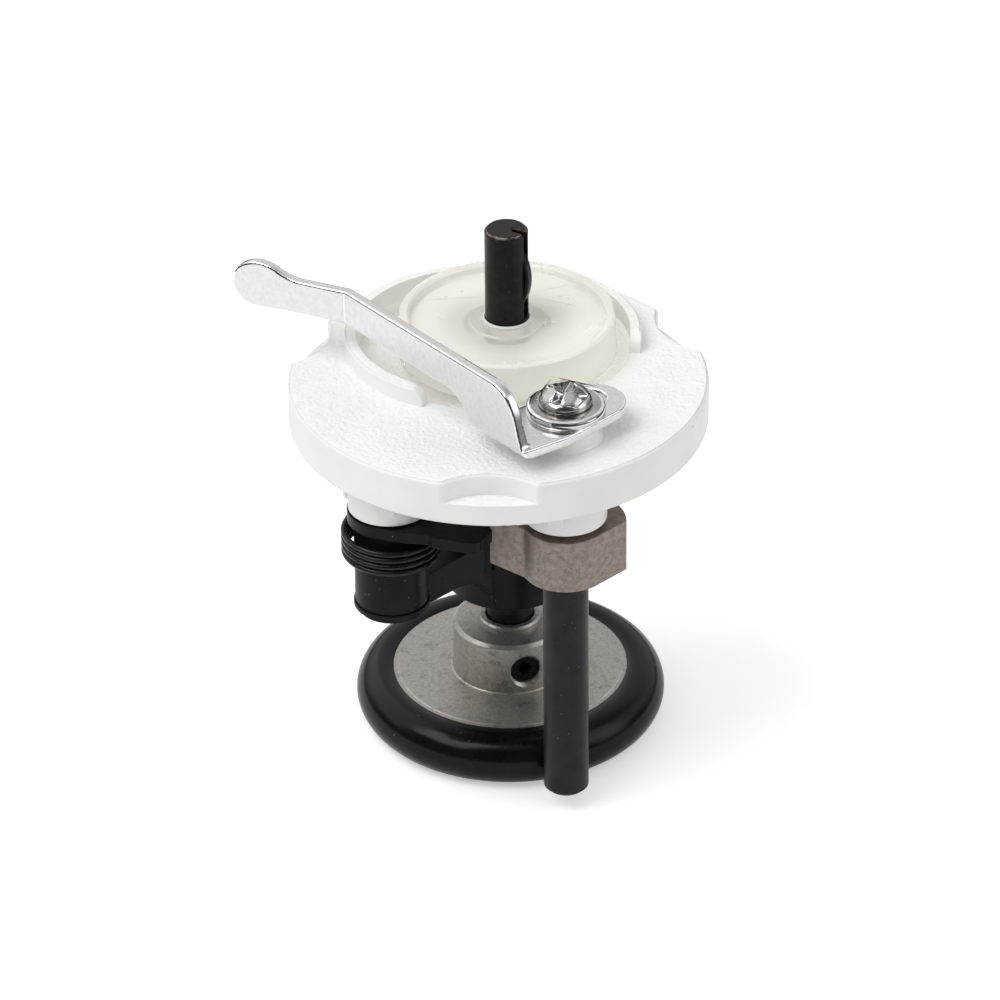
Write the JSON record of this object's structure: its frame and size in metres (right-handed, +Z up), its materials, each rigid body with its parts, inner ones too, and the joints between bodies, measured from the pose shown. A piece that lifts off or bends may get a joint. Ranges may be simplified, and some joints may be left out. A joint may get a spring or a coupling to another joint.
{
  "type": "sewing machine bobbin winder",
  "caption": "Bobbin winder unit: a spindle with a cup table and a tyred friction wheel on a swing arm under a round cover plate, tripped by a bent lever and a cam.",
  "frame": {"origin": "on the bobbin spindle's axis, at the face of the table that the bobbin sits on", "axes": "+Z up the bobbin spindle, +X to the right and +Y away from the side where the trip lever's foot stands"},
  "size_m": [0.066, 0.06, 0.0794],
  "materials": {
    "white_plastic": "white moulded plastic with a fine leather grain on top and smooth sides",
    "milky_plastic": "milky translucent moulded plastic",
    "black_plastic": "black moulded plastic, dusty",
    "bronze": "oil-soaked sintered bronze",
    "bright_steel": "zinc-plated steel",
    "black_steel": "black oxide, worn to bronze at the edges",
    "spring_steel": "oil-dark spring wire",
    "sintered_steel": "pitted sintered steel",
    "tyre_rubber": "satin black rubber",
    "grey_steel": "dark satin steel",
    "chrome_strip": "chrome plate, satin faces and mirror edges"
  },
  "bodies": {
    "base": {"base_plate": "white_plastic", "lever_bush": "bronze", "arm_pivot_pin": "bright_steel", "pivot_washer": "bright_steel", "pivot_clip_ring": "black_steel", "return_spring": "spring_steel"},
    "arm": {"swing_arm": "black_plastic", "upper_spindle_bush": "bronze", "lower_spindle_bush": "bronze"},
    "spindle": {"bobbin_spindle": "black_steel", "bobbin_clip_pin": "black_steel", "bobbin_table": "milky_plastic", "table_sleeve": "black_steel", "wheel_sleeve": "black_steel", "drive_wheel": "sintered_steel", "wheel_set_screw": "black_steel", "friction_tyre": "tyre_rubber"},
    "clip": {"bobbin_clip": "spring_steel"},
    "lever": {"lever_shaft": "grey_steel", "trip_lever": "chrome_strip", "lever_washer": "bright_steel", "lever_screw": "bright_steel", "trip_cam": "sintered_steel", "cam_set_screw": "black_steel"}
  },
  "joints": [
    {"name": "lever_turn", "type": "hinge", "parent": "base", "child": "lever", "pos_m": [0.0077, -0.02465, 0], "axis": [0, 0, 1], "range_deg": [-28, 0]},
    {"name": "arm_swing", "type": "hinge", "parent": "base", "child": "arm", "pos_m": [-0.01645, -0.0209, 0], "axis": [0, 0, 1], "range_deg": [0, 4.5], "stiffness_Nm_per_rad": 0.2, "deforming": ["return_spring"]},
    {"name": "spindle_spin", "type": "hinge", "parent": "arm", "child": "spindle", "pos_m": [0, 0, 0], "axis": [0, 0, 1], "continuous": true},
    {"name": "clip_press", "type": "hinge", "parent": "spindle", "child": "clip", "pos_m": [0.0015, -0.0008, 0.0021], "axis": [-0.4695, -0.8829, 0], "range_deg": [0, 2.8], "stiffness_Nm_per_rad": 0.13}
  ],
  "couplings": [
    {"joint": "arm_swing", "follows": "lever_turn", "ratio": -0.16}
  ]
}
